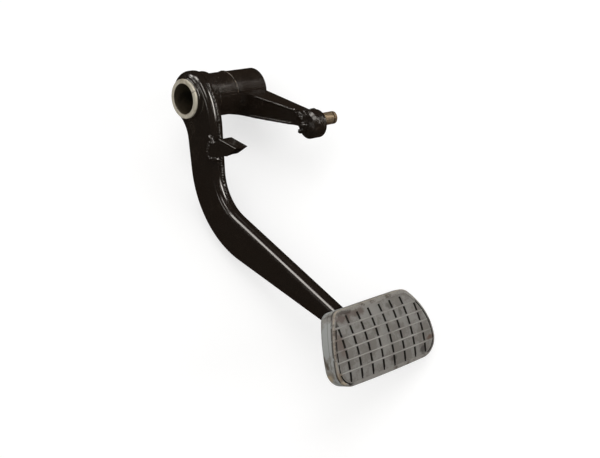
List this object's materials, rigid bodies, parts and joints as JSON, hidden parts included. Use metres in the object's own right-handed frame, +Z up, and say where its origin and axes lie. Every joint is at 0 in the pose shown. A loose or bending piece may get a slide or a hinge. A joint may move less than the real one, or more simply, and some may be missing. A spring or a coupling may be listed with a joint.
{
  "type": "brake pedal",
  "caption": "Hanging brake pedal: pressed hollow arm on a pivot tube, side lever with pushrod pin, stop bracket and ribbed rubber pad.",
  "frame": {"origin": "on the pivot tube's axis, in the middle of the arm's thickness", "axes": "+X along the pivot tube towards the driver's right, +Y forward and away from the driver, +Z up"},
  "size_m": [0.1051, 0.1361, 0.2193],
  "materials": {
    "black_paint": "gloss",
    "bare_steel": "satin",
    "pad_rubber": "matte"
  },
  "bodies": {
    "root": {"pivot_tube": "bare_steel", "arm_left_shell": "black_paint", "arm_right_shell": "black_paint", "arm_front_seam_weld": "black_paint", "arm_rear_seam_weld": "black_paint", "lever_left_shell": "black_paint", "lever_right_shell": "black_paint", "collar_ring_weld": "black_paint", "lever_wrap_weld": "black_paint", "lever_top_seam_weld": "black_paint", "lever_bottom_seam_weld": "black_paint", "lever_boss": "black_paint", "pushrod_pin": "bare_steel", "tongue_weld": "black_paint", "boss_weld": "black_paint", "stop_bracket": "black_paint", "bracket_left_weld": "black_paint", "bracket_right_weld": "black_paint", "foot_plate": "black_paint", "foot_plate_weld": "black_paint", "pedal_rubber": "pad_rubber"}
  },
  "joints": []
}
